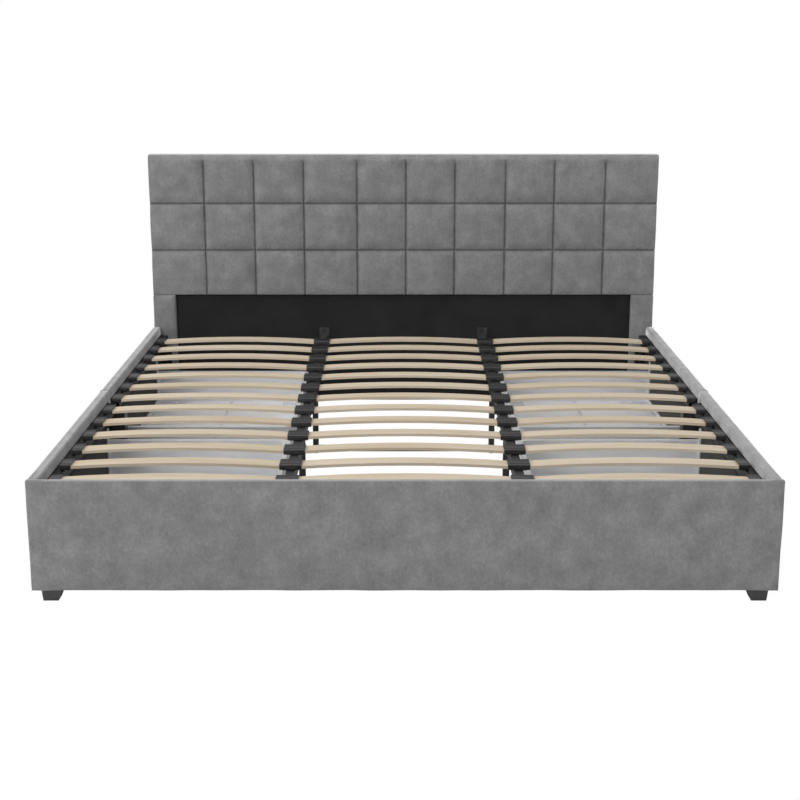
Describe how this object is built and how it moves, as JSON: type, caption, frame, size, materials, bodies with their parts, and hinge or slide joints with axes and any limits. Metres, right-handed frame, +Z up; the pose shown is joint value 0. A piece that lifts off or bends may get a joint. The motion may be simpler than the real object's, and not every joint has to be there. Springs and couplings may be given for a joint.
{
  "type": "platform bed with storage drawers",
  "caption": "Upholstered platform bed with a square-tufted headboard, arched wooden slats on steel rails, and storage drawers that roll out on wheels from under both sides.",
  "frame": {"origin": "on the floor, under the middle of the bed's bounding box", "axes": "+X to the right when the bed is seen from its foot, +Y from the footboard to the headboard, +Z up"},
  "size_m": [2, 2.16, 1.016],
  "materials": {
    "velvet": "soft short-pile velvet",
    "timber": "raw board and sawn timber",
    "lined_board": "board under black non-woven cloth",
    "lining": "black non-woven cloth",
    "steel": "satin dark grey powder coat",
    "bolt": "dark zinc",
    "black_plastic": "matt moulded",
    "birch": "smooth, clear lacquer",
    "tray_plastic": "satin moulded",
    "wheel_plastic": "matt moulded"
  },
  "bodies": {
    "frame": {"headboard_posts": "timber", "headboard_rails": "timber", "headboard_pad": "velvet", "headboard_leg_covers": "velvet", "headboard_dust_panel": "lining", "headboard_back_cover": "lining", "footboard_board": "timber", "footboard_cover": "velvet", "footboard_lining": "lining", "ledges": "steel", "leg_blocks": "black_plastic", "corner_brackets": "steel", "plastic_feet": "black_plastic", "centre_rails": "steel", "centre_rail_sockets": "steel", "foot_support_leg": "steel", "head_support_leg": "steel", "support_glides": "black_plastic", "left_slats": "birch", "middle_slats": "birch", "right_slats": "birch", "side_caps": "black_plastic", "centre_caps": "black_plastic", "frame_bolts": "bolt", "left_foot_rail_board": "lined_board", "left_foot_rail_cover": "velvet", "left_head_rail_board": "lined_board", "left_head_rail_cover": "velvet", "right_foot_rail_board": "lined_board", "right_foot_rail_cover": "velvet", "right_head_rail_board": "lined_board", "right_head_rail_cover": "velvet"},
    "left_foot_drawer": {"left_foot_drawer_tray": "tray_plastic", "left_foot_drawer_front_board": "timber", "left_foot_drawer_front_cover": "velvet", "left_foot_drawer_front_lining": "lining", "left_foot_drawer_casters": "black_plastic"},
    "left_foot_drawer_outer_wheels": {"left_foot_drawer_outer_wheels": "wheel_plastic"},
    "left_foot_drawer_inner_wheels": {"left_foot_drawer_inner_wheels": "wheel_plastic"},
    "left_head_drawer": {"left_head_drawer_tray": "tray_plastic", "left_head_drawer_front_board": "timber", "left_head_drawer_front_cover": "velvet", "left_head_drawer_front_lining": "lining", "left_head_drawer_casters": "black_plastic"},
    "left_head_drawer_outer_wheels": {"left_head_drawer_outer_wheels": "wheel_plastic"},
    "left_head_drawer_inner_wheels": {"left_head_drawer_inner_wheels": "wheel_plastic"},
    "right_foot_drawer": {"right_foot_drawer_tray": "tray_plastic", "right_foot_drawer_front_board": "timber", "right_foot_drawer_front_cover": "velvet", "right_foot_drawer_front_lining": "lining", "right_foot_drawer_casters": "black_plastic"},
    "right_foot_drawer_outer_wheels": {"right_foot_drawer_outer_wheels": "wheel_plastic"},
    "right_foot_drawer_inner_wheels": {"right_foot_drawer_inner_wheels": "wheel_plastic"},
    "right_head_drawer": {"right_head_drawer_tray": "tray_plastic", "right_head_drawer_front_board": "timber", "right_head_drawer_front_cover": "velvet", "right_head_drawer_front_lining": "lining", "right_head_drawer_casters": "black_plastic"},
    "right_head_drawer_outer_wheels": {"right_head_drawer_outer_wheels": "wheel_plastic"},
    "right_head_drawer_inner_wheels": {"right_head_drawer_inner_wheels": "wheel_plastic"}
  },
  "joints": [
    {"name": "left_foot_drawer_slide", "type": "slide", "parent": "frame", "child": "left_foot_drawer", "axis": [-1, 0, 0], "range_m": [0, 0.5]},
    {"name": "left_foot_drawer_outer_wheels_spin", "type": "hinge", "parent": "left_foot_drawer", "child": "left_foot_drawer_outer_wheels", "pos_m": [-0.895, -0.5475, 0.022], "axis": [0, -1, 0], "range_deg": [0, 1304]},
    {"name": "left_foot_drawer_inner_wheels_spin", "type": "hinge", "parent": "left_foot_drawer", "child": "left_foot_drawer_inner_wheels", "pos_m": [-0.432, -0.5475, 0.022], "axis": [0, -1, 0], "range_deg": [0, 1304]},
    {"name": "left_head_drawer_slide", "type": "slide", "parent": "frame", "child": "left_head_drawer", "axis": [-1, 0, 0], "range_m": [0, 0.5]},
    {"name": "left_head_drawer_outer_wheels_spin", "type": "hinge", "parent": "left_head_drawer", "child": "left_head_drawer_outer_wheels", "pos_m": [-0.895, 0.4425, 0.022], "axis": [0, -1, 0], "range_deg": [0, 1304]},
    {"name": "left_head_drawer_inner_wheels_spin", "type": "hinge", "parent": "left_head_drawer", "child": "left_head_drawer_inner_wheels", "pos_m": [-0.432, 0.4425, 0.022], "axis": [0, -1, 0], "range_deg": [0, 1304]},
    {"name": "right_foot_drawer_slide", "type": "slide", "parent": "frame", "child": "right_foot_drawer", "axis": [1, 0, 0], "range_m": [0, 0.5]},
    {"name": "right_foot_drawer_outer_wheels_spin", "type": "hinge", "parent": "right_foot_drawer", "child": "right_foot_drawer_outer_wheels", "pos_m": [0.895, -0.5475, 0.022], "axis": [0, 1, 0], "range_deg": [0, 1304]},
    {"name": "right_foot_drawer_inner_wheels_spin", "type": "hinge", "parent": "right_foot_drawer", "child": "right_foot_drawer_inner_wheels", "pos_m": [0.432, -0.5475, 0.022], "axis": [0, 1, 0], "range_deg": [0, 1304]},
    {"name": "right_head_drawer_slide", "type": "slide", "parent": "frame", "child": "right_head_drawer", "axis": [1, 0, 0], "range_m": [0, 0.5]},
    {"name": "right_head_drawer_outer_wheels_spin", "type": "hinge", "parent": "right_head_drawer", "child": "right_head_drawer_outer_wheels", "pos_m": [0.895, 0.4425, 0.022], "axis": [0, 1, 0], "range_deg": [0, 1304]},
    {"name": "right_head_drawer_inner_wheels_spin", "type": "hinge", "parent": "right_head_drawer", "child": "right_head_drawer_inner_wheels", "pos_m": [0.432, 0.4425, 0.022], "axis": [0, 1, 0], "range_deg": [0, 1304]}
  ],
  "couplings": [
    {"joint": "left_foot_drawer_outer_wheels_spin", "follows": "left_foot_drawer_slide", "rad_per_m": 45.455},
    {"joint": "left_foot_drawer_inner_wheels_spin", "follows": "left_foot_drawer_slide", "rad_per_m": 45.455},
    {"joint": "left_head_drawer_outer_wheels_spin", "follows": "left_head_drawer_slide", "rad_per_m": 45.455},
    {"joint": "left_head_drawer_inner_wheels_spin", "follows": "left_head_drawer_slide", "rad_per_m": 45.455},
    {"joint": "right_foot_drawer_outer_wheels_spin", "follows": "right_foot_drawer_slide", "rad_per_m": 45.455},
    {"joint": "right_foot_drawer_inner_wheels_spin", "follows": "right_foot_drawer_slide", "rad_per_m": 45.455},
    {"joint": "right_head_drawer_outer_wheels_spin", "follows": "right_head_drawer_slide", "rad_per_m": 45.455},
    {"joint": "right_head_drawer_inner_wheels_spin", "follows": "right_head_drawer_slide", "rad_per_m": 45.455}
  ]
}
